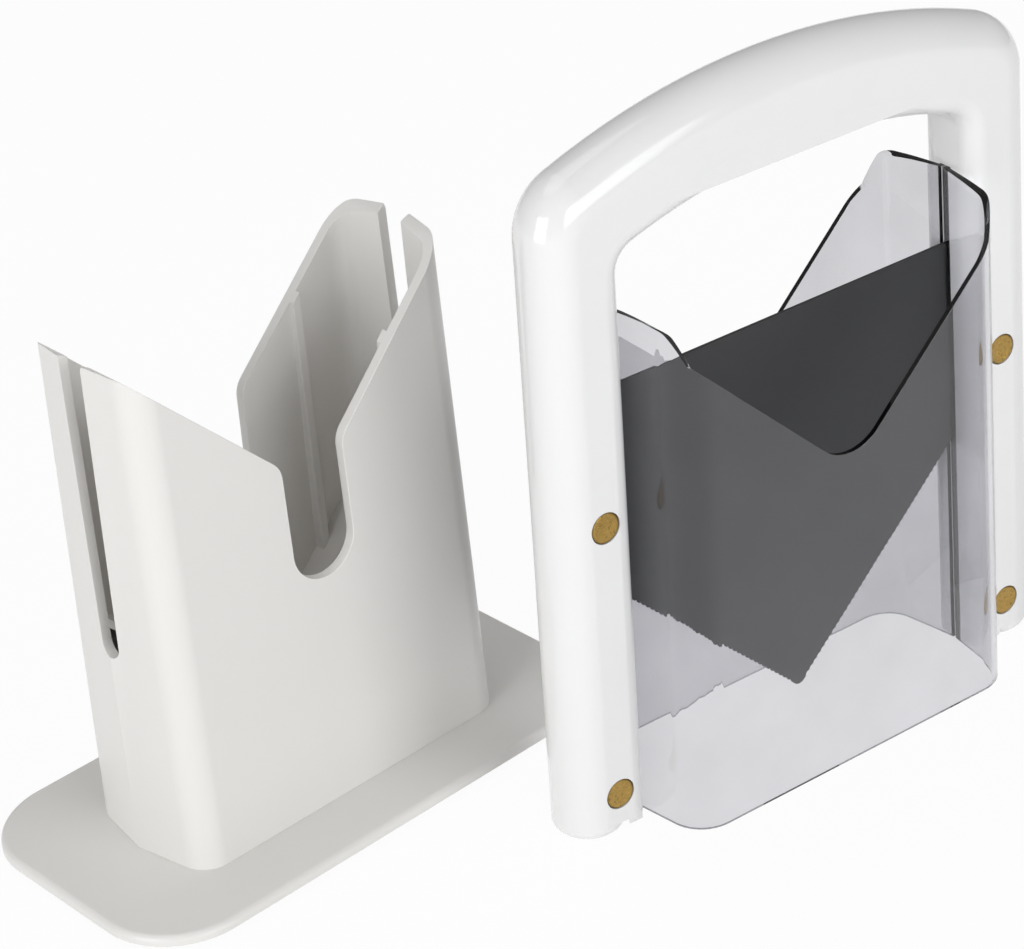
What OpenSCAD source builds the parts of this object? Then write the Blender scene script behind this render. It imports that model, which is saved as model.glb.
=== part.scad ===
// Bagel guillotine slicer: a cradle on a base plate, and beside it the blade
// with its two clear guards and arched handle, standing on its own legs.
// Millimetres. The origin is on the table under the middle of the whole as it stands,
// +X runs along the cradle, +Z is up.

/* [Base plate] */
// Length of the base plate
plate_l = 203; // [180:1:230]
// Width of the base plate
plate_w = 106.6; // [90:0.2:130]
// Thickness of the base plate
plate_t = 3.6; // [3:0.2:6]
// Corner radius of the base plate
plate_corner_r = 29; // [15:1:40]
// Rounding of the top edge of the base plate
plate_edge_r = 2.2; // [0.8:0.1:2.6]

/* [Foot pads] */
// Diameter of a foot pad
pad_d = 12; // [8:0.5:16]
// How far a foot pad stands below the base plate
pad_stand = 2.2; // [1:0.1:4]
// Depth of the recess that holds a foot pad
pad_recess = 0.8; // [0.4:0.1:1.2]
// Distance of a foot pad from the end of the base plate
pad_end = 22; // [18:0.5:30]
// Distance of a foot pad from the long side of the base plate
pad_side = 14; // [12:0.5:20]

/* [Cradle] */
// Length of the cradle over the points of its ends, at the foot
cradle_l = 139.4; // [130:0.2:150]
// Width of the cradle over its long walls
cradle_w = 58.8; // [54:0.2:60]
// How far each end points out past the corners
cradle_point = 5.2; // [2:0.1:7]
// Corner radius of the cradle
cradle_corner_r = 10.8; // [7:0.1:14]
// Wall thickness of the cradle
cradle_wall = 3.6; // [2.4:0.1:4.5]
// Height of the cradle above the base plate
cradle_h = 180.2; // [165:0.2:190]
// Lean of the cradle's ends towards the middle, in degrees
cradle_end_lean = 0.6; // [0.3:0.1:0.9]
// Lean of the cradle's long walls towards the middle, in degrees
cradle_side_lean = 1.2; // [0.6:0.1:1.5]
// Height of the point of the V in the long walls, above the base plate
notch_h = 115.2; // [105:0.2:120]
// Slope of the V in the long walls, in degrees
notch_slope = 45; // [43:0.5:46]
// Width of the finger gap under the V
finger_w = 24.8; // [18:0.2:28]
// Height of the bottom of the finger gap above the base plate
finger_h = 82.6; // [78:0.2:90]
// Rounding where the V turns down into the finger gap
notch_shoulder_r = 9; // [4:0.5:12]
// Rounding of the tips of the long walls
notch_tip_r = 12; // [6:0.5:14]

/* [Blade slots and bagel rest] */
// Width of a blade slot at the top of the cradle
slot_top_w = 11.2; // [10:0.1:13]
// Width of a blade slot at its round bottom
slot_w = 8.4; // [6:0.1:9]
// Height of the bottom of a blade slot above the base plate
slot_h = 74; // [70:0.5:78]
// Rounding of the tips beside a blade slot
slot_tip_r = 2.5; // [1:0.1:3]
// Height of the lowest line of the bagel rest above the base plate
rest_h = 20.7; // [18:0.1:24]
// Slope of the two ramps of the bagel rest, in degrees
rest_slope = 45; // [43:0.5:46]
// Thickness of the ramps
rest_t = 2.6; // [2:0.1:3.5]
// Distance of the grip ribs from the middle of the cradle
rib_x = 37; // [30:0.5:45]
// Thickness of a grip rib
rib_t = 3; // [2:0.1:4]
// How far a grip rib stands in at the ramp
rib_foot = 4; // [2.5:0.1:5]
// How far a grip rib stands in at the top of the cradle
rib_head = 1.4; // [0.8:0.1:2]

/* [Base screws] */
// Shank diameter of a base screw
screw_d = 3.4; // [3:0.1:4]
// Head diameter of a base screw
screw_head_d = 6.6; // [6:0.1:8]
// Height of the countersunk head
screw_head_h = 1.6; // [1.2:0.1:2]
// Length of a base screw
screw_l = 13; // [11:0.5:15]
// Distance of the base screws from the middle of the cradle
screw_x = 44; // [35:0.5:50]
// Diameter of a screw boss under the ramps
boss_d = 9; // [8:0.2:11]
// Height of a screw boss
boss_h = 14; // [13:0.5:18]

/* [Handle] */
// Height to the top of the arch
handle_h = 247.6; // [235:0.2:255]
// Depth of the legs and the arch, front to back
handle_d = 24.5; // [20:0.5:30]
// Lean of each leg towards the middle, in degrees
leg_lean = 1; // [0.6:0.1:1.2]
// Radius of the top of the arch
arch_r = 245.4; // [235:0.2:260]
// Radius of the outer shoulders of the arch
shoulder_r = 21.9; // [18:0.1:30]
// Distance of the centres of the outer shoulders from the middle
shoulder_x = 76.5; // [74:0.1:78]
// Height of the top of the hand opening
window_h = 215.2; // [208:0.2:220]
// Radius of the underside of the arch
window_arch_r = 213.87; // [205:0.01:230]
// Radius of the upper corners of the hand opening
window_r = 8; // [5:0.5:12]
// Distance of the centres of those corners from the middle
window_x = 61.88; // [60:0.01:63]
// Rounding of the edges round the hand opening
inner_edge_r = 7; // [4:0.5:8]
// Rounding of the lower edges of the feet
foot_edge_r = 4.6; // [2:0.1:6]

/* [Clear guards] */
// Wall thickness of a guard
guard_wall = 1.8; // [1.4:0.1:2.4]
// Running gap between the guards and the long walls of the cradle
guard_gap = 0.8; // [0.6:0.1:1.6]
// How far each end of the guards points out past the corners
guard_point = 5; // [3:0.1:7]
// Height of the lower edge of a guard above the feet
guard_foot = 0.4; // [0.2:0.1:2]
// Height of the tips of the guards above the feet
guard_h = 183.2; // [176:0.2:188]
// Height of the sharp point that the V in a guard would have
guard_notch_h = 111.4; // [106:0.2:116]
// Slope of the V in a guard, in degrees
guard_notch_slope = 44; // [42:0.5:45]
// Rounding of the bottom of the V in a guard
guard_notch_r = 16; // [10:0.5:22]
// Distance from the middle at which the V turns up to the tips
guard_rise_x = 60.6; // [57:0.2:62]
// Slope of the turned up part, in degrees
guard_rise_slope = 70; // [66:0.5:74]
// Rounding of the tips of the guards
guard_tip_r = 5; // [3:0.5:6]
// How far the flange of a guard goes into the leg
flange_l = 18.6; // [17:0.1:20]

/* [Blade] */
// Thickness of the blade
blade_t = 1.2; // [0.8:0.1:1.4]
// Height of the top edge of the blade above the feet
blade_top = 155.6; // [150:0.2:160]
// Height of the sharp point that the cutting edges would meet at
blade_point = 13; // [12:0.2:15]
// Slope of the cutting edges, in degrees
blade_slope = 44; // [43:0.5:45]
// Rounding of the point of the blade
blade_point_r = 3; // [1:0.5:5]
// Length of a tooth
tooth_l = 2.4; // [1.8:0.1:4]
// Depth of the scallop between two teeth
tooth_deep = 0.6; // [0.3:0.05:0.8]
// How far the tips of the teeth lie back from the straight edge
tooth_back = 0.1; // [0.05:0.05:0.2]
// Width of the ground bevel at the back of the blade
bevel_w = 5; // [3:0.5:7]
// Thickness of the blade left at the cutting edge
bevel_t = 0.5; // [0.3:0.05:0.7]
// How far the blade goes into a leg at its top
blade_in = 17; // [15.6:0.1:17.4]

/* [Rivets] */
// Head diameter of a rivet
rivet_head_d = 10.8; // [8:0.2:12]
// Thickness of a rivet head
rivet_head_t = 2.4; // [1.6:0.1:3]
// Outer diameter of the hollow shank
rivet_tube_d = 5; // [4.4:0.1:5.6]
// Diameter of the pin inside the hollow shank
rivet_pin_d = 3.2; // [2.6:0.1:3.6]
// Distance of the rivets from the inner face of a leg
rivet_x = 12; // [11:0.1:12.6]
// Height of the lower rivets above the feet
rivet_low = 15.2; // [12:0.2:20]
// Height of the upper rivets above the feet
rivet_high = 115.2; // [105:0.2:125]

/* [Standing place] */
// Where the base lies, along the cradle, from the middle of the whole
base_x = -65.57; // [-70:0.01:-60]
// Where the base lies, across the cradle, from the middle of the whole
base_y = 46.54; // [42:0.01:51]
// Where the handle and blade stand, along the cradle, from the middle of the base
stand_x = 131.3; // [120:0.1:145]
// Where the handle and blade stand, across the cradle, from the middle of the base
stand_y = -107.4; // [-130:0.1:-100]
// Turn of the handle and blade on the table, in degrees
stand_turn = -7.2; // [-10:0.1:0]

/* [Hidden] */
$fn = 64;

// Clearances
overrun = 2;        // how far a cut runs past what it cuts
lap = 1;            // how far joined bodies and roundings reach into each other
seam = 0.01;        // hairline between round pieces whose ends would only nearly meet
core_in = 0.3;      // depth of that hairline
flat_in = 0.02;     // how far the flats of the handle lie under its rounded rims
fit_gap = 0.1;      // between the faces of fixed pieces
pin_gap = 0.05;     // round a pin or shank in its hole

// How much of the wall the ramps and the ribs reach into
rest_seat_share = 0.6;
rib_seat_share = 0.35;
// How far the centre of the rounding of a foot lies in from its faces
foot_inset_share = 0.97;

// Heights of the base
plate_z = pad_stand;
deck_z = plate_z + plate_t;

// The four quarters of the base, and of the handle
quarters = [[-1, -1], [1, -1], [-1, 1], [1, 1]];
legs = [[-1, 0], [1, 0], [-1, 1], [1, 1]];
rivet_z = [rivet_low, rivet_high];

// Places of the foot pads, one near each corner of the base plate
pads = [for (q = quarters) [q[0] * (plate_l / 2 - pad_end), q[1] * (plate_w / 2 - pad_side)]];

// Derived sizes of the cradle
cradle_half = cradle_l / 2;
cradle_in_w = cradle_w - 2 * cradle_wall;
boss_y = cradle_in_w / 2 - boss_d / 3;
screw_len_in = screw_l - plate_t;

// Derived sizes of the handle, the guards and the blade
nose_r = handle_d / 2;
shoulder = corner_at(shoulder_x, shoulder_r, handle_h, arch_r);
window = corner_at(window_x, window_r, window_h, window_arch_r);
leg_out = foot_of(shoulder, shoulder_r);
leg_in = foot_of(window, window_r);
foot_inset = foot_inset_share * foot_edge_r;
groove_w = blade_t + 2 * guard_wall + 2 * fit_gap;
groove_l = flange_l + fit_gap;
groove_top = guard_h + fit_gap;
guard_w = cradle_w + 2 * guard_gap + 2 * guard_wall;
guard_corner_r = cradle_corner_r + guard_gap + guard_wall;
tooth_r = (tooth_l ^ 2 / 4 + tooth_deep ^ 2) / (2 * tooth_deep);
blade_edge_x = leg_in + fit_gap;
edge_l = blade_edge_x / cos(blade_slope);
edge_start = blade_point_r * tan(blade_slope);
teeth = floor((edge_l - edge_start) / tooth_l) - 1;

// A point on a slope through [0, h]
function on_slope(x, h, slope) = [x, h + x * tan(slope)];
// Centre of the round corner, at x, under a top arc of radius r_top
function corner_at(x, r, top, r_top) = [x, top - r_top + sqrt((r_top - r) ^ 2 - x ^ 2)];
// Where the leg that comes down from a corner of radius r at c meets the table
function foot_of(c, r) = c[0] + r / cos(leg_lean) + c[1] * tan(leg_lean);

// What a rounding of radius r takes off the corner p, and a little beyond.
// a and b are the directions in which the two edges leave the corner. The hairline of
// extra radius lets the rounding cross the edges, where it would only touch them.
module corner_tip(p, a, b, r) {
    half = abs(b - a) / 2;
    mid = (a + b) / 2;
    turn = 90 * sign(b - a);
    c = p + r / sin(half) * [cos(mid), sin(mid)];
    ta = p + r / tan(half) * [cos(a), sin(a)];
    tb = p + r / tan(half) * [cos(b), sin(b)];
    difference() {
        polygon([c, ta, ta + lap * [cos(a - turn), sin(a - turn)],
                 p - 2 * lap * [cos(mid), sin(mid)],
                 tb + lap * [cos(b + turn), sin(b + turn)], tb]);
        translate(c) circle(r + seam);
    }
}

// Outline seen from above with two ends that point out a little.
// grow moves the whole outline out, or in where it is negative.
module pointed_plan(half_l, half_w, point, r, grow = 0) {
    a = atan(point / half_w);
    tip = half_l + grow / cos(a);
    side = half_w + grow;
    rc = r + grow;
    cy = side - rc;
    cx = (tip * cos(a) - rc - cy * sin(a)) / cos(a);
    t = [cx + rc * cos(a), cy + rc * sin(a)];
    polygon([[tip, 0], t, [cx, side], [-cx, side], [-t[0], t[1]],
             [-tip, 0], [-t[0], -t[1]], [-cx, -side], [cx, -side], [t[0], -t[1]]]);
    for (q = quarters) translate([q[0] * cx, q[1] * cy]) circle(rc);
}

// Leans a side of the part in by a degrees about its foot at x
module lean(x, a) {
    translate([x, 0, 0]) rotate([0, -a, 0]) translate([-x, 0, 0]) children();
}

// Leans a side of the part in by a degrees about its foot at y
module lean_back(y, a) {
    translate([0, y, 0]) rotate([a, 0, 0]) translate([0, -y, 0]) children();
}

// Mirrors what is drawn for +X and +Y into quarter q
module into_quarter(q) {
    mirror([q[0] < 0 ? 1 : 0, 0, 0]) mirror([0, q[1] < 0 ? 1 : 0, 0]) children();
}

// Stands a profile drawn in x and height up in the XZ plane, d thick along Y
module upright(d) {
    rotate([90, 0, 0]) linear_extrude(d, center = true) children();
}

// Both sides of what is drawn for +X
module both_sides() {
    children();
    mirror([1, 0, 0]) children();
}

// Quarter of a disc, on the side of its centre that sx and sy point to
module quarter_disc(r, sx, sy) {
    intersection() {
        circle(r);
        translate([min(0, 2 * sx * r), min(0, 2 * sy * r)]) square(2 * r);
    }
}

// Profile of the base plate from its middle out to its rounded edge
module plate_edge(reach) {
    square([reach - plate_edge_r, plate_t]);
    translate([reach - plate_edge_r, 0]) square([plate_edge_r, plate_t - plate_edge_r]);
    translate([reach - plate_edge_r, plate_t - plate_edge_r]) quarter_disc(plate_edge_r, 1, 1);
}

module base_plate() {
    ix = plate_l / 2 - plate_corner_r;
    iy = plate_w / 2 - plate_corner_r;
    color("gainsboro") lay() translate([0, 0, plate_z]) difference() {
        union() {
            for (s = [0, 1]) mirror([s, 0, 0]) rotate([90, 0, 0])
                linear_extrude(2 * iy, center = true) plate_edge(plate_l / 2);
            for (s = [0, 1]) mirror([0, s, 0]) rotate([90, 0, 90])
                linear_extrude(2 * ix, center = true) plate_edge(plate_w / 2);
            for (q = quarters) into_quarter(q) translate([ix, iy, 0])
                rotate_extrude(angle = 90) plate_edge(plate_corner_r);
        }
        for (p = pads) translate([p[0], p[1], -overrun])
            cylinder(d = pad_d + 2 * fit_gap, h = overrun + pad_recess);
        for (q = quarters) translate([q[0] * screw_x, q[1] * boss_y, 0]) {
            translate([0, 0, -overrun]) cylinder(d = screw_d + 2 * pin_gap, h = plate_t + 2 * overrun);
            translate([0, 0, -overrun]) cylinder(d = screw_head_d + 2 * fit_gap, h = overrun);
            cylinder(d1 = screw_head_d + 2 * fit_gap, d2 = screw_d + 2 * pin_gap, h = screw_head_h);
        }
    }
}

module foot_pad(i) {
    color("dimgray") lay() translate(pads[i - 1]) cylinder(d = pad_d, h = pad_stand + pad_recess);
}

module base_screw(i) {
    q = quarters[i - 1];
    color("silver") lay() translate([q[0] * screw_x, q[1] * boss_y, plate_z]) {
        cylinder(d1 = screw_head_d, d2 = screw_d, h = screw_head_h);
        cylinder(d = screw_d, h = screw_l);
    }
}

// Upright solid of the cradle's plan with the lean of its ends and walls.
// grow moves its sides out, or in where it is negative; over lengthens it both ways.
module cradle_block(grow = 0, over = 0) {
    for (q = quarters) into_quarter(q) intersection() {
        lean_back(cradle_w / 2, cradle_side_lean) lean(cradle_half, cradle_end_lean)
            translate([0, 0, -2 * overrun]) linear_extrude(cradle_h + 4 * overrun)
                pointed_plan(cradle_half, cradle_w / 2, cradle_point, cradle_corner_r, grow);
        translate([0, 0, -over]) cube([cradle_l, cradle_w, cradle_h + 2 * over]);
    }
}

// The V, the finger gap and their roundings, as seen from the front
module notch_profile() {
    top = cradle_h + overrun;
    out = (top - notch_h) / tan(notch_slope);
    shoulder = on_slope(finger_w / 2, notch_h, notch_slope);
    tip_x = (cradle_h - notch_h) / tan(notch_slope);
    polygon([[0, notch_h], [out, top], [-out, top]]);
    translate([0, finger_h + finger_w / 2]) circle(d = finger_w);
    translate([-finger_w / 2, finger_h + finger_w / 2])
        square([finger_w, notch_h - finger_h]);
    both_sides() {
        corner_tip(shoulder, notch_slope, -90, notch_shoulder_r);
        corner_tip([tip_x, cradle_h], notch_slope - 180, 0, notch_tip_r);
    }
}

// A blade slot as seen from the end: it narrows to a round bottom
module slot_profile() {
    low = slot_h + slot_w / 2;
    top = cradle_h + overrun;
    drift = atan((slot_top_w - slot_w) / 2 / (cradle_h - low));
    wide = slot_top_w / 2 + overrun * tan(drift);
    polygon([[slot_w / 2, low], [wide, top], [-wide, top], [-slot_w / 2, low]]);
    translate([0, low]) circle(d = slot_w);
    both_sides() corner_tip([slot_top_w / 2, cradle_h], -90 - drift, 0, slot_tip_r);
}

// The two ramps that carry the bagel, as seen from the front
module rest_profile() {
    drop = rest_t / cos(rest_slope);
    both_sides() polygon([[0, rest_h], on_slope(cradle_half, rest_h, rest_slope),
                          on_slope(cradle_half, rest_h - drop, rest_slope), [0, rest_h - drop]]);
}

// A grip rib on one long wall, thicker towards the ramp
module grip_rib() {
    low = rest_h + rib_x * tan(rest_slope);
    foot = cradle_in_w / 2 - low * tan(cradle_side_lean);
    head = cradle_in_w / 2 - cradle_h * tan(cradle_side_lean);
    seat = rib_seat_share * cradle_wall;
    translate([rib_x - rib_t / 2, 0, 0]) rotate([90, 0, 90]) linear_extrude(rib_t)
        polygon([[foot + seat, low - rest_t], [foot - rib_foot, low - rest_t],
                 [foot - rib_foot, low], [head - rib_head, cradle_h], [head + seat, cradle_h]]);
}

module cradle() {
    color("whitesmoke") lay() translate([0, 0, deck_z]) difference() {
        union() {
            difference() {
                cradle_block();
                cradle_block(-cradle_wall, overrun);
            }
            intersection() {
                upright(cradle_w) rest_profile();
                cradle_block(-rest_seat_share * cradle_wall);
            }
            for (q = quarters) into_quarter(q) grip_rib();
            for (q = quarters) translate([q[0] * screw_x, q[1] * boss_y, 0])
                cylinder(d = boss_d, h = boss_h);
        }
        upright(2 * cradle_w) notch_profile();
        rotate([90, 0, 90]) linear_extrude(2 * cradle_l, center = true) slot_profile();
        blade_channel();
        for (q = quarters) translate([q[0] * screw_x, q[1] * boss_y, -overrun])
            cylinder(d = screw_d + 2 * pin_gap, h = overrun + screw_len_in + fit_gap);
    }
}

// The gap between the ramps that lets the blade come through the bagel
module blade_channel() {
    run = 2 * (cradle_half - cradle_wall - cradle_h * tan(cradle_end_lean));
    translate([-run / 2, -slot_w / 2, -overrun]) cube([run, slot_w, slot_h + slot_w]);
}

// Puts what is drawn round the corner at c, the leg running down from the X axis
module at_corner(c) {
    translate(c) rotate(leg_lean) children();
}

// Sweeps a profile round an arched outline: legs, corners and top. The second profile,
// a little smaller, carries the top over into the corners.
// A profile's x is measured out from the outline, its y is the depth.
module sweep(c, r, top, r_top) {
    bend = asin(c[0] / (r_top - r));
    part = asin(seam / r_top);
    reach = asin(lap / r_top);
    rotate([90, 0, 0]) {
        translate([0, top - r_top]) {
            rotate(90 - bend + part) rotate_extrude(angle = 2 * (bend - part))
                translate([r_top, 0]) children(0);
            rotate(90 - bend - reach) rotate_extrude(angle = 2 * (bend + reach))
                translate([r_top, 0]) children(1);
        }
        both_sides() at_corner(c) {
            rotate_extrude(angle = 90 - bend - leg_lean) translate([r, 0]) children(0);
            translate([r, 0, 0]) rotate([90, 0, 0]) linear_extrude(c[1] + overrun) children(0);
        }
    }
}

// Area inside an arched outline that lies d further in, or out where d is negative.
// The corners come out a little fuller.
module arch_area(c, r, top, r_top, d) {
    low = -2 * overrun;
    wide = 2 * c[0];
    full = lap / 4;
    t = [wide, 2 * c[1] - (top - r_top)];
    intersection() {
        translate([0, top - r_top]) circle(r_top - d);
        union() {
            polygon([[0, top - r_top], t, [-t[0], t[1]]]);
            both_sides() {
                translate(c) circle(r - d + full);
                at_corner(c) translate([-wide, low - c[1]]) square([wide + r - d, c[1] - low]);
                polygon([[0, low], c, [0, top]]);
            }
        }
        polygon([[wide, low], [wide, top], [-wide, top], [-wide, low]]);
    }
}

// Outer edge of the handle: a half round, with a strip that reaches into the flat middle
module nose_profile(less = 0) {
    r = nose_r - less;
    for (s = [-1, 1]) translate([-nose_r, 0]) quarter_disc(r, 1, s);
    translate([less - nose_r - lap, -r]) square([lap - less, 2 * r]);
}

// Edge round the hand opening and down the inside of the legs
module inner_edge_profile(less = 0) {
    half = nose_r - less;
    r = inner_edge_r - less;
    translate([inner_edge_r, 0]) {
        translate([-r, r - half]) square([r, 2 * (half - r)]);
        translate([0, -half]) square([lap - less, 2 * half]);
        for (s = [-1, 1]) translate([0, s * (half - r)]) quarter_disc(r, -1, s);
    }
}

// What the rounding of the feet takes off along one edge
module foot_edge_cut() {
    translate([-foot_inset, foot_inset]) difference() {
        translate([0, -foot_inset - overrun]) square(foot_inset + overrun);
        circle(foot_edge_r);
    }
}

// Rounds the lower edge of a foot along its front, back and outer end
module foot_rounding() {
    nose_x = leg_out - nose_r;
    flat = nose_x - leg_in;
    lean(leg_out, leg_lean) {
        translate([nose_x, 0, 0]) rotate_extrude() translate([nose_r, 0]) foot_edge_cut();
        for (s = [0, 1]) mirror([0, s, 0]) translate([leg_in - overrun, nose_r, 0])
            rotate([90, 0, 90]) linear_extrude(flat + overrun) foot_edge_cut();
    }
}

module handle() {
    seat = lap / 2;
    color("white") stand() difference() {
        union() {
            sweep(shoulder, shoulder_r, handle_h, arch_r) {
                nose_profile();
                nose_profile(core_in);
            }
            sweep(window, window_r, window_h, window_arch_r) {
                inner_edge_profile();
                inner_edge_profile(core_in);
            }
            upright(handle_d - 2 * flat_in) difference() {
                arch_area(shoulder, shoulder_r, handle_h, arch_r, nose_r + seat);
                arch_area(window, window_r, window_h, window_arch_r, -inner_edge_r - seat);
            }
        }
        both_sides() {
            lean(leg_in, leg_lean) translate([leg_in - overrun, -groove_w / 2, -overrun])
                cube([overrun + groove_l, groove_w, overrun + groove_top]);
            foot_rounding();
            for (z = rivet_z) at_rivet(z) {
                cylinder(d = rivet_tube_d + 2 * pin_gap, h = handle_d, center = true);
                for (s = [0, 1]) mirror([0, 0, s]) translate([0, 0, nose_r - rivet_head_t - fit_gap])
                    cylinder(d = rivet_head_d + 2 * fit_gap, h = rivet_head_t + overrun);
            }
        }
        translate([-2 * leg_out, -handle_d, -handle_d]) cube([4 * leg_out, 2 * handle_d, handle_d]);
    }
}

// Puts a piece at a rivet of the +X leg, its axis along the depth, pointing to the front
module at_rivet(z) {
    lean(leg_in, leg_lean) translate([leg_in + rivet_x, 0, z]) rotate([90, 0, 0]) children();
}

// The V of the guards with its rounded bottom and the turned up tips
module guard_notch_profile() {
    top = guard_h + overrun;
    turn = on_slope(guard_rise_x, guard_notch_h, guard_notch_slope);
    rise_x = turn[0] + (guard_h - turn[1]) / tan(guard_rise_slope);
    edge_x = turn[0] + (top - turn[1]) / tan(guard_rise_slope);
    difference() {
        polygon([[0, guard_notch_h], turn, [edge_x, top], [-edge_x, top], [-turn[0], turn[1]]]);
        corner_tip([0, guard_notch_h], guard_notch_slope, 180 - guard_notch_slope, guard_notch_r);
    }
    both_sides() corner_tip([rise_x, guard_h], guard_rise_slope - 180, 0, guard_tip_r);
}

// One half of the front guard with its flange, on the +X side
module guard_side() {
    band = guard_h - guard_foot;
    intersection() {
        lean(leg_in, leg_lean) translate([0, 0, -overrun]) linear_extrude(guard_h + 2 * overrun)
            difference() {
                pointed_plan(leg_in, guard_w / 2, guard_point, guard_corner_r);
                pointed_plan(leg_in, guard_w / 2, guard_point, guard_corner_r, -guard_wall);
            }
        translate([0, -guard_w, guard_foot]) cube([leg_out, guard_w - blade_t / 2, band]);
    }
    intersection() {
        lean(leg_in, leg_lean)
            translate([leg_in - guard_wall, -blade_t / 2 - guard_wall, -overrun])
                cube([guard_wall + flange_l, guard_wall, guard_h + 2 * overrun]);
        translate([0, -guard_w, guard_foot]) cube([leg_out, 2 * guard_w, band]);
    }
}

module guard() {
    difference() {
        both_sides() guard_side();
        upright(2 * guard_w) guard_notch_profile();
        both_sides() for (z = rivet_z) at_rivet(z)
            cylinder(d = rivet_tube_d + 2 * pin_gap, h = handle_d, center = true);
    }
}

module front_guard() {
    color("lavender") stand() guard();
}

module back_guard() {
    color("lavender") stand() mirror([0, 1, 0]) guard();
}

// Outline of the blade with its scalloped cutting edges
module blade_profile() {
    side = leg_in + blade_in - blade_top * tan(leg_lean);
    edge = on_slope(blade_edge_x, blade_point, blade_slope);
    difference() {
        polygon([[0, blade_point], edge, [side, edge[1]], [side, blade_top],
                 [-side, blade_top], [-side, edge[1]], [-edge[0], edge[1]]]);
        corner_tip([0, blade_point], blade_slope, 180 - blade_slope, blade_point_r);
        both_sides() translate([0, blade_point]) rotate(blade_slope)
            for (i = [1:teeth]) translate([edge_start + i * tooth_l, tooth_back + tooth_deep - tooth_r])
                circle(tooth_r);
    }
}

module blade() {
    color("dimgray") stand() difference() {
        upright(blade_t) blade_profile();
        both_sides() translate([0, blade_t / 2, blade_point]) rotate([0, -blade_slope, 0])
            translate([0, 0, bevel_w]) rotate([-90 + atan((blade_t - bevel_t) / bevel_w), 0, 0])
                translate([-bevel_w, 0, 0]) cube([edge_l, bevel_w + overrun, overrun]);
        both_sides() at_rivet(rivet_high)
            cylinder(d = rivet_tube_d + 2 * pin_gap, h = handle_d, center = true);
    }
}

// Leg and height of rivet i
module rivet_place(i) {
    stand() mirror([legs[i - 1][0] < 0 ? 1 : 0, 0, 0]) at_rivet(rivet_z[legs[i - 1][1]]) children();
}

// Front half of a rivet: a head with a solid pin
module rivet_pin(i) {
    color("goldenrod") rivet_place(i) {
        translate([0, 0, nose_r - rivet_head_t]) cylinder(d = rivet_head_d, h = rivet_head_t);
        translate([0, 0, rivet_head_t - nose_r + fit_gap])
            cylinder(d = rivet_pin_d, h = handle_d - 2 * rivet_head_t);
    }
}

// Back half of a rivet: a head with a hollow shank
module rivet_tube(i) {
    color("goldenrod") rivet_place(i) mirror([0, 0, 1]) difference() {
        union() {
            translate([0, 0, nose_r - rivet_head_t]) cylinder(d = rivet_head_d, h = rivet_head_t);
            translate([0, 0, rivet_head_t - nose_r + fit_gap])
                cylinder(d = rivet_tube_d, h = handle_d - 2 * rivet_head_t);
        }
        translate([0, 0, -nose_r]) cylinder(d = rivet_pin_d + 2 * pin_gap,
                                            h = handle_d - rivet_head_t);
    }
}

// Puts the base plate, the cradle and what fastens them where they lie
module lay() {
    translate([base_x, base_y, 0]) children();
}

// Puts the handle, guards and blade where they stand beside the cradle
module stand() {
    lay() translate([stand_x, stand_y, 0]) rotate(stand_turn) children();
}

base_plate();
for (i = [1:4]) foot_pad(i);
cradle();
for (i = [1:4]) base_screw(i);
handle();
front_guard();
back_guard();
blade();
for (i = [1:4]) rivet_pin(i);
for (i = [1:4]) rivet_tube(i);
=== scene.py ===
"""Looks of a bagel guillotine slicer: a moulded cradle on its base plate, and beside it
the arched handle with its coated blade between two clear guards.

The packed solids give every size and place. Each operator makes the pieces of one
group in metres, in the frame of the solids. Plastic, coating and brass are node
materials on Object coordinates."""
import math

import bmesh
import bpy
from mathutils import Matrix, Vector


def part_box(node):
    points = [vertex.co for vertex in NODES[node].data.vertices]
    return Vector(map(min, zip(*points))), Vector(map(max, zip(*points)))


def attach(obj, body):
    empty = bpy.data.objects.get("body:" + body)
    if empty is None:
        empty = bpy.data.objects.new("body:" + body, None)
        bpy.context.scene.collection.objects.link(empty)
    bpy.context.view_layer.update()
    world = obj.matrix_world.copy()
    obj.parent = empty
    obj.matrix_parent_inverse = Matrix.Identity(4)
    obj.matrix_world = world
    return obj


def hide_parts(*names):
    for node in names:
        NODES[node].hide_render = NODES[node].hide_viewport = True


bl_info = {
    "name": "Bagel guillotine slicer",
    "version": (1, 0, 0),
    "blender": (4, 5, 0),
    "location": "View3D > Sidebar > Slicer",
    "description": "Makes the visible pieces, finishes and stage of a bagel guillotine slicer",
    "category": "Object",
}

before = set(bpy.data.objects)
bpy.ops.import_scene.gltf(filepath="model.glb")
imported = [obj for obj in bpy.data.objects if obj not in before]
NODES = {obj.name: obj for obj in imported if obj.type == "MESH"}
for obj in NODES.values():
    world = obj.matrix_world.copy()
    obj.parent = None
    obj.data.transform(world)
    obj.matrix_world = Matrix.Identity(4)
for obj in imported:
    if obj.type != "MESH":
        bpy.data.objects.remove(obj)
BASE = "cradle_base"
CUTTER = "guillotine"

WELD = 2e-6  # corners of a CAD mesh nearer than this, in metres, are one
PLATE_WELD, GUARD_WELD = 0.0003, 0.0005  # the same, where the rims get a bevel
FLAT = math.radians(0.2)  # faces that turn less than this are one flat
SHARP = math.radians(32)  # edges that turn more than this are shaded sharp
PLASTIC_RIM, GUARD_RIM = math.radians(62), math.radians(80)  # edges beyond this get a bevel
UP = (0, 0, 1)

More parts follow.
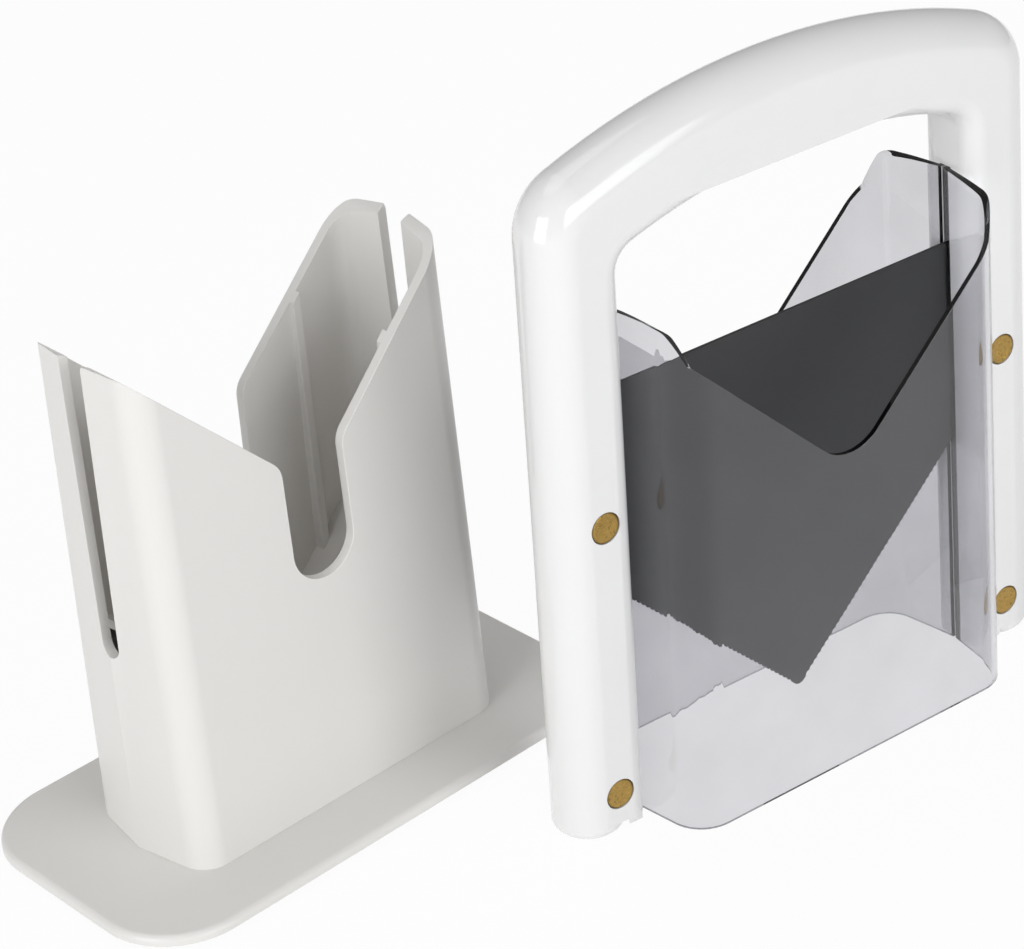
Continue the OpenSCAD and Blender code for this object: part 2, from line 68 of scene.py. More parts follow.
LAMPS = (  # name, place, width, height, watts
    ("left_panel", (-1.5156, -0.3035, 0.45), 0.8, 1.0, 11.0),
    ("front_panel", (-0.05, -1.58, 0.60), 1.2, 0.8, 10.5),
    ("top_panel", (-0.1656, 0.3465, 1.45), 1.0, 0.8, 3.0))
LAMP_TINT = (0.97, 0.985, 1.0)
LAMP_AIM = Vector((0.0044, -0.0035, 0.10))


def size(name, about, value, low=0.0, high=1.0, unit="LENGTH"):
    """A length or number of a property group."""
    return bpy.props.FloatProperty(name=name, description=about, default=value,
                                   min=low, max=high, unit=unit, precision=5)


def colour(name, about, value):
    """A colour of a property group."""
    return bpy.props.FloatVectorProperty(name=name, description=about, default=value,
                                         min=0.0, max=1.0, size=3, subtype="COLOR")


class BaseLook(bpy.types.PropertyGroup):
    """The base plate and the cradle"""
    plastic: colour("Plastic", "Colour of the moulded plastic", (0.815, 0.797, 0.768))
    rim: size("Rim rounding", "Rounding of the rims of the cradle's walls", 0.0002, high=0.0015)
    edge: size("Plate rounding", "Rounding of the lower edge of the base plate", 0.0004, high=0.001)


class PadLook(bpy.types.PropertyGroup):
    """The foot pads and base screws"""
    rubber: colour("Rubber", "Colour of the foot pads", (0.035, 0.035, 0.037))
    steel: colour("Screw steel", "Colour of the plated base screws", (0.52, 0.52, 0.51))
    rings: bpy.props.IntProperty(name="Rings", description="Grip rings under a foot pad",
                                 default=3, min=1, max=4)


class HandleLook(bpy.types.PropertyGroup):
    """The handle"""
    plastic: colour("Plastic", "Colour of the glossy plastic", (0.862, 0.854, 0.846))


class GuardLook(bpy.types.PropertyGroup):
    """The clear guards"""
    tint: colour("Tint", "Tint of the clear plastic", (0.67, 0.67, 0.695))
    rim: size("Rim rounding", "Rounding of the rims of the guards", 0.00015, high=0.0008)


class BladeLook(bpy.types.PropertyGroup):
    """The blade"""
    coating: colour("Coating", "Colour of the non-stick coating", (0.036, 0.036, 0.038))
    steel: colour("Steel", "Colour of the ground cutting edge", (0.30, 0.30, 0.30))
    grain: size("Grain", "Size of the speckle of the coating", 0.0005, high=0.01)


class RivetLook(bpy.types.PropertyGroup):
    """The rivets"""
    brass: colour("Brass", "Colour of the rivets", (0.42, 0.27, 0.075))
    dish: size("Dish", "How far the middle of a rivet head is sunk", 0.0003, high=0.001)
    round: size("Rounding", "Rounding of the edge of a rivet head", 0.0008, high=0.001)


class StageLook(bpy.types.PropertyGroup):
    """The camera, lamps and floor"""
    camera: bpy.props.FloatVectorProperty(
        name="Camera", description="Place of the camera", size=3, subtype="XYZ", unit="LENGTH",
        default=(-0.59543, -0.68925, 0.63246))
    turn: bpy.props.FloatVectorProperty(
        name="Camera turn", description="Turn of the camera", size=3, subtype="EULER",
        unit="ROTATION", default=tuple(math.radians(a) for a in (59.7356, 4.3894, -43.3504)))
    lens: size("Lens", "Focal length on a 36 mm sensor, in millimetres", 113.52,
               high=300.0, unit="NONE")
    ambient: size("Ambient", "Strength of the even light from all sides", 0.42,
                  high=2.0, unit="NONE")


LOOKS = {"base": BaseLook, "pads": PadLook, "handle": HandleLook, "guards": GuardLook,
         "blade": BladeLook, "rivets": RivetLook, "stage": StageLook}


def look(name):
    """The settings of one group of pieces."""
    return getattr(bpy.context.scene, "slicer_" + name)


# Materials

class Sock:
    """A shader socket that Python's operators turn into Math nodes."""

    def __init__(self, shader, out):
        self.shader, self.out = shader, out

    def _math(self, operation, a, b):
        return self.shader.node("ShaderNodeMath", dict(operation=operation), {0: a, 1: b})("Value")

    def __add__(self, b): return self._math("ADD", self, b)
    def __radd__(self, b): return self._math("ADD", b, self)
    def __sub__(self, b): return self._math("SUBTRACT", self, b)
    def __rsub__(self, b): return self._math("SUBTRACT", b, self)
    def __mul__(self, b): return self._math("MULTIPLY", self, b)
    def __rmul__(self, b): return self._math("MULTIPLY", b, self)

    def within(self, low, high):
        """0 below low, 1 above high, even in between."""
        return self.shader.node("ShaderNodeMapRange", dict(clamp=True), {
            "Value": self, "From Min": low, "From Max": high})("Result")


class Shader:
    """Builds the nodes of a material, or of a world."""

    def __init__(self, name, world=False):
        self.owner = (bpy.data.worlds if world else bpy.data.materials).new(name)
        self.owner.use_nodes = True
        self.tree = self.owner.node_tree
        self.tree.nodes.clear()
        self.output = "ShaderNodeOutputWorld" if world else "ShaderNodeOutputMaterial"

    def node(self, kind, settings=None, sockets=None):
        """Adds a node, sets its settings, then its sockets. Returns a finder of its outputs."""
        node = self.tree.nodes.new(kind)
        for key, value in (settings or {}).items():
            setattr(node, key, value)
        for key, value in (sockets or {}).items():
            socket = node.inputs[key]
            if isinstance(value, Sock):
                self.tree.links.new(value.out, socket)
            else:
                socket.default_value = value
        return lambda out: Sock(self, node.outputs[out])

    def place(self):
        """Object coordinates in metres."""
        return self.node("ShaderNodeTexCoord")("Object")

    def noise(self, scale, detail, rough=0.5, at=None):
        """Noise from 0 to 1; scale is in waves per metre."""
        return self.node("ShaderNodeTexNoise", dict(noise_dimensions="3D"), {
            "Vector": at or self.place(), "Scale": scale, "Detail": detail,
            "Roughness": rough})("Fac")

    def mix(self, fac, a, b):
        """Colour a where fac is 0, b where it is 1."""
        a, b = (v if isinstance(v, Sock) else (*v, 1.0) for v in (a, b))
        factor, first, second, result = 0, 6, 7, 2  # the node's sockets for colours
        return self.node("ShaderNodeMix", dict(data_type="RGBA"), {
            factor: fac, first: a, second: b})(result)

    def bump(self, height, distance, strength):
        """Normal from a height of 0 to 1 that stands for the distance in metres."""
        return self.node("ShaderNodeBump", None, {
            "Height": height, "Distance": distance, "Strength": strength})("Normal")

    def finish(self, surface):
        """Connects the surface and gives the material or the world."""
        self.node(self.output, None, {"Surface": surface})
        return self.owner

    def principled(self, **sockets):
        """A Principled shader; underscores in a name stand for spaces."""
        values = {key.replace("_", " "): value for key, value in sockets.items()}
        return self.node("ShaderNodeBsdfPrincipled", None, values)("BSDF")


def tinted(tone, factor):
    """A colour made lighter or darker."""
    return tuple(min(1.0, c * factor) for c in tone)


def satin_plastic():
    """Warm white plastic of the base: faint flow marks, orange peel and a few specks."""
    look_ = look("base")
    s = Shader("satin_plastic")
    flow = s.noise(9.0, detail=3.0)
    cloud = s.noise(55.0, detail=4.0, rough=0.6)
    peel = s.noise(900.0, detail=2.0, rough=0.45)
    speck = s.noise(2600.0, detail=1.0, rough=0.5).within(0.70, 0.78)
    base = s.mix(flow, tinted(look_.plastic, 0.975), tinted(look_.plastic, 1.015))
    base = s.mix(speck * 0.10, base, tinted(look_.plastic, 0.7))
    return s.finish(s.principled(
        Base_Color=base, Roughness=0.27 + 0.10 * cloud + 0.05 * flow, IOR=1.5,
        Normal=s.bump(peel + 0.25 * cloud, distance=0.00001, strength=0.35)))


def gloss_plastic():
    """Glossy white plastic of the handle: a slow ripple and rubbed places."""
    look_ = look("handle")
    s = Shader("gloss_plastic")
    ripple = s.noise(45.0, detail=2.0, rough=0.4)
    peel = s.noise(700.0, detail=2.0, rough=0.4)
    rubbed = s.noise(30.0, detail=5.0, rough=0.65).within(0.45, 0.75)
    base = s.mix(ripple, tinted(look_.plastic, 0.985), tinted(look_.plastic, 1.01))
    return s.finish(s.principled(
        Base_Color=base, Roughness=0.13 + 0.10 * rubbed, IOR=1.5,
        Coat_Weight=0.25, Coat_Roughness=0.08,
        Normal=s.bump(ripple + 0.08 * peel, distance=0.00006, strength=0.4)))


def clear_plastic():
    """Clear plastic of the guards: waves that bend what lies behind, clouds, fine scuffs."""
    look_ = look("guards")
    s = Shader("clear_plastic")
    wave = s.noise(16.0, detail=2.0, rough=0.4)
    cloud = s.noise(26.0, detail=3.0, rough=0.55).within(0.35, 0.70)
    scuff = s.noise(240.0, detail=6.0, rough=0.7).within(0.58, 0.86)
    return s.finish(s.principled(
        Base_Color=s.mix(cloud, tinted(look_.tint, 0.955), tinted(look_.tint, 1.035)),
        Roughness=0.015 + 0.06 * scuff, IOR=1.49, Transmission_Weight=1.0,
        Normal=s.bump(wave, distance=0.0008, strength=0.35)))


def blade_coating():
    """Dark coating with a fine speckle and faint strokes along the blade."""
    look_ = look("blade")
    s = Shader("blade_coating")
    grain = s.noise(1.0 / look_.grain, detail=3.0, rough=0.6)
    spark = s.noise(2.2 / look_.grain, detail=1.0, rough=0.5).within(0.66, 0.74)
    drawn = s.node("ShaderNodeMapping", None, {
        "Vector": s.place(), "Scale": (1.0, 1.0, 14.0)})("Vector")
    stroke = s.noise(60.0, detail=3.0, rough=0.55, at=drawn)
    cloud = s.noise(14.0, detail=3.0, rough=0.5)
    base = s.mix(grain, tinted(look_.coating, 0.94), tinted(look_.coating, 1.07))
    base = s.mix(cloud, base, tinted(look_.coating, 1.08))
    base = s.mix(spark * 0.15, base, tinted(look_.coating, 2.6))
    return s.finish(s.principled(
        Base_Color=base, Metallic=0.25, Roughness=0.54 + 0.06 * grain - 0.06 * stroke, IOR=1.5,
        Normal=s.bump(grain + 0.4 * stroke, distance=0.0000015, strength=0.4)))


def ground_steel():
    """Bare ground steel of the bevel, with grinding lines across the cutting edge."""
    look_ = look("blade")
    s = Shader("ground_steel")
    part = s.node("ShaderNodeSeparateXYZ", None, {"Vector": s.place()})
    lines = s.node("ShaderNodeTexNoise", dict(noise_dimensions="1D"), {
        "W": (part("X") + part("Z")) * 1800.0, "Scale": 1.0, "Detail": 3.0,
        "Roughness": 0.6})("Fac")
    return s.finish(s.principled(
        Base_Color=s.mix(lines, tinted(look_.steel, 0.8), tinted(look_.steel, 1.25)),
        Metallic=1.0, Roughness=0.28 + 0.14 * lines,
        Normal=s.bump(lines, distance=0.00001, strength=0.5)))


def old_brass():
    """Brass of the rivets: dark pits, small bright grains, and a dark ring at the rim that is
    painted shade of the gap around each head.
    """
    look_ = look("rivets")
    s = Shader("old_brass")
    grain = s.noise(1500.0, detail=4.0, rough=0.7)
    pits = s.noise(900.0, detail=5.0, rough=0.75).within(0.52, 0.66)
    bright = s.noise(2100.0, detail=2.0, rough=0.5).within(0.60, 0.70)
    base = s.mix(grain, tinted(look_.brass, 0.75), tinted(look_.brass, 1.25))
    base = s.mix(pits * 0.75, base, tinted(look_.brass, 0.28))
    base = s.mix(bright * 0.5, base, tinted(look_.brass, 2.0))
    # Painted shade: the outer rim of each head is darkened to stand in for the shade in the gap
    # around the head.
    ring = s.node("ShaderNodeAttribute", dict(attribute_name="rim"))("Fac").within(0.84, 0.98)
    base = s.mix(ring * 0.7, base, tinted(look_.brass, 0.3))
    return s.finish(s.principled(
        Base_Color=base, Metallic=0.92, Roughness=0.30 + 0.22 * grain,
        Normal=s.bump(grain - 0.8 * pits, distance=0.00008, strength=0.6)))


def pad_rubber():
    """Soft dark rubber with a dusty bloom."""
    look_ = look("pads")
    s = Shader("pad_rubber")
    dust = s.noise(260.0, detail=5.0, rough=0.65)
    return s.finish(s.principled(
        Base_Color=s.mix(dust.within(0.4, 0.8), look_.rubber, tinted(look_.rubber, 2.2)),
        Roughness=0.72 + 0.15 * dust, IOR=1.45,
        Normal=s.bump(dust, distance=0.00004, strength=0.4)))


def plated_steel():
    """Zinc plated steel of the screws, a little spangled."""
    look_ = look("pads")
    s = Shader("plated_steel")
    spangle = s.node("ShaderNodeTexVoronoi", dict(feature="F1"), {
        "Vector": s.place(), "Scale": 900.0})("Distance")
    return s.finish(s.principled(
        Base_Color=s.mix(spangle.within(0.1, 0.7), look_.steel, tinted(look_.steel, 1.25)),
        Metallic=1.0, Roughness=0.26 + 0.2 * spangle,
        Normal=s.bump(spangle, distance=0.00001, strength=0.4)))


# Pieces

def merged_copy(node, near=WELD):
    """A copy of a CAD node's mesh with its triangles joined, flats as single faces.

    A larger near leaves out small faces on which a bevel would fold."""
    bm = bmesh.new()
    bm.from_mesh(NODES[node].data)
    bmesh.ops.remove_doubles(bm, verts=bm.verts, dist=near)
    bmesh.ops.dissolve_limit(bm, angle_limit=FLAT, verts=bm.verts, edges=bm.edges,
                             use_dissolve_boundaries=False)
    bmesh.ops.recalc_face_normals(bm, faces=bm.faces)
    return bm


def finished_mesh(name, bm, *materials):
    """Makes a mesh of bm, smooth but for its sharp edges."""
    mesh = bpy.data.meshes.new(name)
    for face in bm.faces:
        face.smooth = True
    for edge in bm.edges:
        if edge.calc_face_angle(0.0) > SHARP:
            edge.smooth = False
    bm.to_mesh(mesh)
    bm.free()
    for material in materials:
        mesh.materials.append(material)
    return mesh


def new_piece(name, bm, body, slot, *materials):
    """Makes a piece from the mesh bm."""
    piece = bpy.data.objects.new(name, finished_mesh(name, bm, *materials))
    bpy.context.scene.collection.objects.link(piece)
    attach(piece, body)
    return piece


def round_rims(piece, width, angle):
    """Bevels the edges that turn more than the angle."""
    bevel = piece.modifiers.new("rounding", "BEVEL")
    bevel.width, bevel.segments = width, 4
    bevel.limit_method, bevel.angle_limit = "ANGLE", angle
    bevel.use_clamp_overlap = False


def lead_shading(piece, mode="FACE_AREA", weight=80):
    """Gives the normals of the large faces to the corners that they share.

    At a weight of 50 the areas count as they are; above it the largest counts for more."""
    lead = piece.modifiers.new("shading", "WEIGHTED_NORMAL")
    lead.mode, lead.weight, lead.keep_sharp = mode, weight, True


class SLICER_OT_base(bpy.types.Operator):
    """Base plate and cradle, with rounded rims"""
    bl_idname = "slicer.base"
    bl_label = "Base plate and cradle"

    def execute(self, context):
        look_ = look("base")
        plastic = satin_plastic()
        for node, width, near in (("base_plate", look_.edge, PLATE_WELD),
                                  ("cradle", look_.rim, WELD)):
            piece = new_piece(node + "_moulding", merged_copy(node, near), BASE, "base_plastic",
                              plastic)
            round_rims(piece, width, PLASTIC_RIM)
            lead_shading(piece)
            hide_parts(node)
        return {"FINISHED"}


class SLICER_OT_handle(bpy.types.Operator):
    """Arched handle"""
    bl_idname = "slicer.handle"
    bl_label = "Handle"

    def execute(self, context):
        piece = new_piece("arched_handle", merged_copy("handle"), CUTTER, "handle_plastic",
                          gloss_plastic())
        lead_shading(piece)
        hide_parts("handle")
        return {"FINISHED"}


class SLICER_OT_guards(bpy.types.Operator):
    """Front and back guard of clear plastic"""
    bl_idname = "slicer.guards"
    bl_label = "Clear guards"

    def execute(self, context):
        clear = clear_plastic()
        for side in ("front", "back"):
            node = side + "_guard"
            piece = new_piece(side + "_clear_guard", merged_copy(node, GUARD_WELD), CUTTER,
                              "clear_plastic", clear)
            round_rims(piece, look("guards").rim, GUARD_RIM)
            lead_shading(piece, "FACE_AREA_WITH_ANGLE", 50)
            piece.visible_shadow = False  # light passes through them
            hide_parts(node)
        return {"FINISHED"}


class SLICER_OT_blade(bpy.types.Operator):
    """Coated blade with its ground and toothed edges"""
    bl_idname = "slicer.blade"
    bl_label = "Blade"

    def execute(self, context):
        piece = new_piece("toothed_blade", merged_copy("blade"), CUTTER, "blade_coating",
                          blade_coating(), ground_steel())
        self.mark_ground(piece.data)
        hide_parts("blade")
        return {"FINISHED"}

    def mark_ground(self, mesh):
        """Gives the bevels, which lean from the blade's plane, the bare steel."""
        flat = max(mesh.polygons, key=lambda f: f.area).normal
        steep, level = 0.9, 0.9999  # the cosines between which a face is a bevel
        for face in mesh.polygons:
            if steep < abs(face.normal.dot(flat)) < level:
                face.material_index = 1


def turned_mesh(name, outline, material, steps):
    """A closed mesh turned about Z from (radius, height) points.

    Its attribute rim goes from 0 on the axis to 1 at the widest ring."""
    bm = bmesh.new()
    rings = []
    for radius, height in outline:
        if radius == 0.0:
            rings.append([bm.verts.new((0, 0, height))])
        else:
            rings.append([bm.verts.new((radius * math.cos(a), radius * math.sin(a), height))
                          for a in (math.tau * i / steps for i in range(steps))])
    for low, high in zip(rings, rings[1:]):
        for i in range(steps):
            j = (i + 1) % steps
            corners = [low[i % len(low)], low[j % len(low)],
                       high[j % len(high)], high[i % len(high)]]
            bm.faces.new(list(dict.fromkeys(corners)))
    bmesh.ops.recalc_face_normals(bm, faces=bm.faces)
    mesh = finished_mesh(name, bm, material)
    widest = max(radius for radius, _ in outline)
    rim = mesh.attributes.new("rim", "FLOAT", "POINT")
    for item, vertex in zip(rim.data, mesh.vertices):
        item.value = vertex.co.xy.length / widest
    return mesh


def repeat(name, shape, places, material, body):
    """Repeats a mesh at places with Geometry Nodes and gives the result as one piece.

    A place is a point and the direction of the shape's Z there."""
    points = bpy.data.meshes.new(name)
    points.from_pydata([p for p, _ in places], [], [])
    ways = points.attributes.new("way", "FLOAT_VECTOR", "POINT")
    for item, (_, direction) in zip(ways.data, places):
        item.vector = direction
    carrier = bpy.data.objects.new(name, points)
    bpy.context.scene.collection.objects.link(carrier)
    source = bpy.data.objects.new(name + "_shape", shape)
    bpy.context.scene.collection.objects.link(source)
    tree = bpy.data.node_groups.new(name, "GeometryNodeTree")
    tree.interface.new_socket("Geometry", in_out="INPUT", socket_type="NodeSocketGeometry")
    part = tree.interface.new_socket("Shape", in_out="INPUT", socket_type="NodeSocketObject")
    scale = tree.interface.new_socket("Scale", in_out="INPUT", socket_type="NodeSocketFloat")
    scale.default_value = 1.0
    finish = tree.interface.new_socket("Material", in_out="INPUT", socket_type="NodeSocketMaterial")
    tree.interface.new_socket("Geometry", in_out="OUTPUT", socket_type="NodeSocketGeometry")

    def node(kind, **sockets):
        made = tree.nodes.new(kind)
        for key, value in sockets.items():
            tree.links.new(value, made.inputs[key.replace("_", " ")])
        return made

    given = node("NodeGroupInput").outputs
    way = tree.nodes.new("GeometryNodeInputNamedAttribute")
    way.data_type = "FLOAT_VECTOR"
    way.inputs["Name"].default_value = "way"
    turn = node("FunctionNodeAlignRotationToVector", Vector=way.outputs["Attribute"])
    turn.axis = "Z"
    copy = node("GeometryNodeObjectInfo", Object=given["Shape"])
    copies = node("GeometryNodeInstanceOnPoints", Points=given["Geometry"],
                  Instance=copy.outputs["Geometry"], Rotation=turn.outputs["Rotation"],
                  Scale=given["Scale"])
    real = node("GeometryNodeRealizeInstances", Geometry=copies.outputs["Instances"])
    done = node("GeometryNodeSetMaterial", Geometry=real.outputs["Geometry"],
                Material=given["Material"])
    node("NodeGroupOutput", Geometry=done.outputs["Geometry"])
    modifier = carrier.modifiers.new("repeat", "NODES")
    modifier.node_group = tree
    modifier[part.identifier] = source
    modifier[scale.identifier] = 1.0
    modifier[finish.identifier] = material
    evaluated = carrier.evaluated_get(bpy.context.evaluated_depsgraph_get())
    mesh = bpy.data.meshes.new_from_object(evaluated)
    carrier.modifiers.remove(modifier)
    carrier.data = mesh
    bpy.data.objects.remove(source)
    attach(carrier, body)
    return carrier


def low_middles(nodes):
    """The middle of each node's lower side, with the direction up."""
    places = []
    for node in nodes:
        low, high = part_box(node)
        places.append((((low.x + high.x) / 2, (low.y + high.y) / 2, low.z), UP))
    return places


class SLICER_OT_pads(bpy.types.Operator):
    """Rubber foot pads with grip rings"""
    bl_idname = "slicer.pads"
    bl_label = "Foot pads"

    def execute(self, context):
        low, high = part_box("foot_pad_1")
        outline = self.outline((high.x - low.x) / 2, high.z - low.z)
        nodes = ["foot_pad_%d" % i for i in range(1, 5)]
        rubber = pad_rubber()
        shape = turned_mesh("foot_pad_shape", outline, rubber, steps=48)
        piece = repeat("foot_pads", shape, low_middles(nodes), rubber, BASE)
        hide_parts(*nodes)
        return {"FINISHED"}

    def outline(self, radius, height):
        """Half outline of a pad from the middle of its face, with grip rings and a rim."""
        ring, groove, chamfer = 0.0005, 0.0005, 0.00015
        rim = 2.6 * ring
        rings = look("pads").rings
        inner = radius - rim
        points = [(0.0, groove)]
        for i in range(rings):
            middle = inner * (i + 0.5) / rings
            points += [(middle - ring, groove), (middle - ring / 2, 0.0),
                       (middle + ring / 2, 0.0), (middle + ring, groove)]
        return points + [(inner, groove), (radius - 2 * ring, 0.0), (radius - ring / 2, chamfer),
                         (radius, ring), (radius, height), (0.0, height)]


class SLICER_OT_screws(bpy.types.Operator):
    """Plated base screws with a cross recess"""
    bl_idname = "slicer.screws"
    bl_label = "Base screws"

    def execute(self, context):
        low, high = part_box("base_screw_1")
        head, length = (high.x - low.x) / 2, high.z - low.z
        nodes = ["base_screw_%d" % i for i in range(1, 5)]
        steel = plated_steel()
        shape = turned_mesh("base_screw_shape", self.outline(head, length), steel, steps=32)
        self.cut_cross(shape, head)
        piece = repeat("base_screws", shape, low_middles(nodes), steel, BASE)
        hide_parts(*nodes)
        return {"FINISHED"}

    def outline(self, head, length):
        """Half outline of a screw from the middle of its head, with its thread and point."""
        face, shank = head * 0.96, head * 0.515  # radii of the head's face and of the thread
        root, end, tip = shank * 0.78, shank * 0.8, shank * 0.1
        chamfer, cone, thread, pitch = 0.00015, 0.0016, 0.0022, 0.0012  # heights along the axis
        runout, point = length - 0.0026, length - 0.0022
        points = [(0.0, 0.0), (face, 0.0), (head, chamfer), (shank, cone)]
        z = thread
        while z < runout:
            points += [(root, z), (shank, z + pitch / 2)]
            z += pitch
        return points + [(end, point), (tip, length), (0.0, length)]

    def cut_cross(self, mesh, head):
        """Cuts the cross recess, which narrows towards its bottom, into the head."""
        across, thick, bottom = head * 1.2, head * 0.26, 0.55
        cutter = bmesh.new()
        for turn in (0, math.pi / 2):
            arm = bmesh.ops.create_cube(cutter, size=1.0)["verts"]
            for v in arm:
                share = bottom if v.co.z > 0 else 1.0
                v.co = Vector((v.co.x * across * share, v.co.y * thick * share, v.co.z * head))
            bmesh.ops.rotate(cutter, verts=arm, cent=(0, 0, 0),
                             matrix=Matrix.Rotation(turn, 3, "Z"))
        cut_mesh = bpy.data.meshes.new("cross_cut")
        cutter.to_mesh(cut_mesh)
        cutter.free()
        cut = bpy.data.objects.new("cross_cut", cut_mesh)
        body = bpy.data.objects.new("cross_body", mesh)
        for made in (cut, body):
            bpy.context.scene.collection.objects.link(made)
        modifier = body.modifiers.new("cross", "BOOLEAN")
        modifier.object, modifier.operation, modifier.solver = cut, "DIFFERENCE", "EXACT"
        modifier.use_self = True  # the two arms cross
        evaluated = body.evaluated_get(bpy.context.evaluated_depsgraph_get())
        bm = bmesh.new()
        bm.from_mesh(evaluated.to_mesh())
        evaluated.to_mesh_clear()
        bpy.data.objects.remove(body)
        bpy.data.objects.remove(cut)
        bm.to_mesh(mesh)
        bm.free()


class SLICER_OT_rivets(bpy.types.Operator):
    """Brass rivets: front heads with pins, back heads with hollow shanks"""
    bl_idname = "slicer.rivets"
    bl_label = "Rivets"

    def execute(self, context):
        brass = old_brass()
        depth = self.depth_way()
        for kind, sign in (("pin", 1), ("tube", -1)):
            nodes = ["rivet_%s_%d" % (kind, i) for i in range(1, 5)]
            places = []
            for node in nodes:
                middle, radius, length = self.head_face(node, depth * sign)
                places.append((tuple(middle), tuple(depth * sign)))
            # The four of a kind are alike, so the last one's measures serve for all.
            outline = self.outline(kind, radius, length)
            shape = turned_mesh("rivet_%s_shape" % kind, outline, brass, steps=40)
            piece = repeat("rivet_%ss" % kind, shape, places, brass, CUTTER)
            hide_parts(*nodes)
        return {"FINISHED"}

    def head_face(self, node, outward):
        """The middle and radius of the face of a rivet half's head, and the half's length."""
        points = [v.co for v in NODES[node].data.vertices]
        along = [p.dot(outward) for p in points]
        outer, slack = max(along), 1e-5
        face = [p for p, a in zip(points, along) if outer - a < slack]
        middle = (Vector(map(min, *face)) + Vector(map(max, *face))) / 2
        return middle, max((p - middle).length for p in face), outer - min(along)

    def depth_way(self):
        """The direction from the back to the front of the guillotine."""
        mesh = NODES["blade"].data
        normal = max(mesh.polygons, key=lambda f: f.area).normal.copy()
        if normal.y > 0:
            normal.negate()
        return normal.normalized()

    def outline(self, kind, radius, length):
        """Half outline of a rivet half from the middle of its head, which faces +Z."""
        look_ = look("rivets")
        dish, edge, head, hole = look_.dish, look_.round, 0.0024, 0.00165
        shank, chamfer = (0.0016, 0.0003) if kind == "pin" else (0.0025, 0.0002)
        dished = 0.8  # share of the radius at which the dish ends
        top = [(radius * f, -dish * math.cos(f * math.pi / (2 * dished)))
               for f in (0.0, 0.3, 0.55, 0.75)]
        curve = [(radius - edge + edge * math.sin(a), -edge + edge * math.cos(a))
                 for a in (math.radians(d) for d in (0, 30, 60, 90))]
        back = [(radius, -head), (shank, -head),
                (shank, -length + chamfer), (shank - chamfer, -length)]
        if kind == "pin":
            return top + curve + back + [(0.0, -length)]
        return top + curve + back + [(hole, -length), (hole, -head), (0.0, -head)]


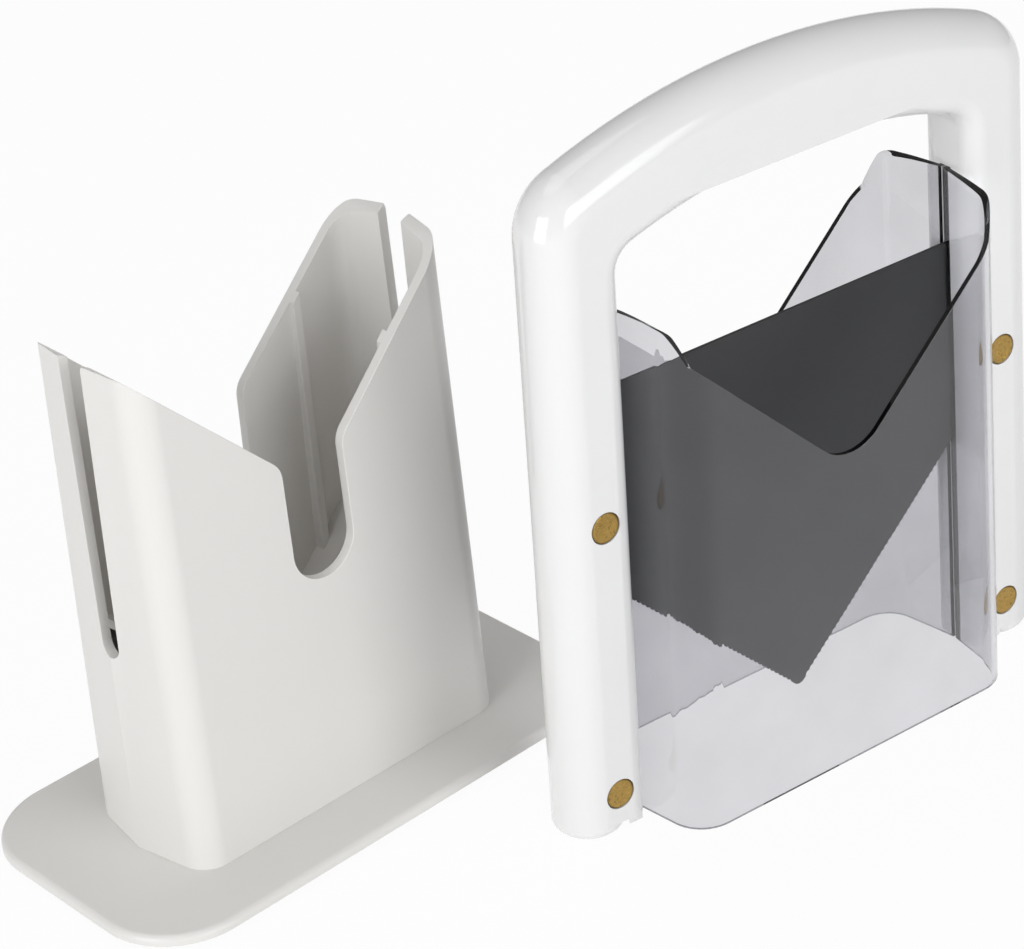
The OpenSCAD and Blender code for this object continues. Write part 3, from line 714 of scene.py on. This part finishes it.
class SLICER_OT_stage(bpy.types.Operator):
    """Camera, lamps and white floor"""
    bl_idname = "slicer.stage"
    bl_label = "Stage"

    def execute(self, context):
        look_ = look("stage")
        scene = context.scene
        data = bpy.data.cameras.new("photo_camera")
        data.sensor_fit, data.sensor_width, data.lens = "HORIZONTAL", 36.0, look_.lens
        data.clip_start, data.clip_end = 0.05, 20.0
        camera = bpy.data.objects.new("photo_camera", data)
        camera.location, camera.rotation_euler = look_.camera, look_.turn
        scene.collection.objects.link(camera)
        scene.camera = camera
        self.floor()
        self.world(look_.ambient)
        for name, place, width, height, power in LAMPS:
            lamp = bpy.data.lights.new(name, "AREA")
            lamp.shape, lamp.size, lamp.size_y = "RECTANGLE", width, height
            lamp.energy, lamp.color = power, LAMP_TINT
            made = bpy.data.objects.new(name, lamp)
            made.location = place
            made.rotation_euler = (LAMP_AIM - Vector(place)).to_track_quat("-Z", "Y").to_euler()
            scene.collection.objects.link(made)
        scene.view_settings.view_transform = "Standard"
        return {"FINISHED"}

    def floor(self):
        """White floor that keeps a faint shadow of the object.

        The camera, gloss and clear plastic see a part of it as even white."""
        plain, through = 0.95, 0.72
        s = Shader("stage_floor")
        rays = s.node("ShaderNodeLightPath")
        seen = ((rays("Is Camera Ray") + rays("Is Glossy Ray")) * plain
                + rays("Is Transmission Ray") * through)
        matt = s.node("ShaderNodeBsdfDiffuse", None, {"Color": (0.93, 0.93, 0.93, 1.0)})("BSDF")
        glow = s.node("ShaderNodeEmission", None, {
            "Color": (1.0, 1.0, 1.0, 1.0), "Strength": 1.0})("Emission")
        both = s.node("ShaderNodeMixShader", None, {0: seen, 1: matt, 2: glow})("Shader")
        half, low = 3.0, -0.00005  # just under the feet, so that no faces coincide
        mesh = bpy.data.meshes.new("stage_floor")
        mesh.from_pydata([(-half, -half, low), (half, -half, low),
                          (half, half, low), (-half, half, low)], [], [(0, 1, 2, 3)])
        mesh.materials.append(s.finish(both))
        plane = bpy.data.objects.new("stage_floor", mesh)
        bpy.context.scene.collection.objects.link(plane)

    def world(self, ambient):
        """Even pale light, at full strength to the camera and through clear plastic."""
        s = Shader("stage_world", world=True)
        rays = s.node("ShaderNodeLightPath")
        seen = s.node("ShaderNodeMath", dict(operation="MAXIMUM"), {
            0: rays("Is Camera Ray"), 1: rays("Is Transmission Ray")})("Value")
        dim = s.node("ShaderNodeBackground", None, {"Strength": ambient})("Background")
        full = s.node("ShaderNodeBackground", None, {"Strength": 1.0})("Background")
        both = s.node("ShaderNodeMixShader", None, {0: seen, 1: dim, 2: full})("Shader")
        bpy.context.scene.world = s.finish(both)


OPERATORS = (SLICER_OT_stage, SLICER_OT_base, SLICER_OT_pads, SLICER_OT_screws,
             SLICER_OT_handle, SLICER_OT_guards, SLICER_OT_blade, SLICER_OT_rivets)


class SLICER_PT_panel(bpy.types.Panel):
    """The slicer's pieces and their sizes and colours"""
    bl_idname = "SLICER_PT_panel"
    bl_label = "Bagel slicer"
    bl_space_type = "VIEW_3D"
    bl_region_type = "UI"
    bl_category = "Slicer"

    def draw(self, context):
        for operator in OPERATORS:
            self.layout.operator(operator.bl_idname)
        for name, group in LOOKS.items():
            box = self.layout.box()
            box.label(text=group.__doc__)
            for key in group.__annotations__:
                box.prop(look(name), key)


CLASSES = (*LOOKS.values(), *OPERATORS, SLICER_PT_panel)


def register():
    for made in CLASSES:
        bpy.utils.register_class(made)
    for name, group in LOOKS.items():
        setattr(bpy.types.Scene, "slicer_" + name, bpy.props.PointerProperty(type=group))


def unregister():
    for name in LOOKS:
        delattr(bpy.types.Scene, "slicer_" + name)
    for made in reversed(CLASSES):
        bpy.utils.unregister_class(made)


def main():
    """Makes every piece."""
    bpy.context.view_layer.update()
    register()
    for operator in OPERATORS:
        group, call = operator.bl_idname.split(".")
        getattr(getattr(bpy.ops, group), call)()


if __name__ == "__main__":
    main()
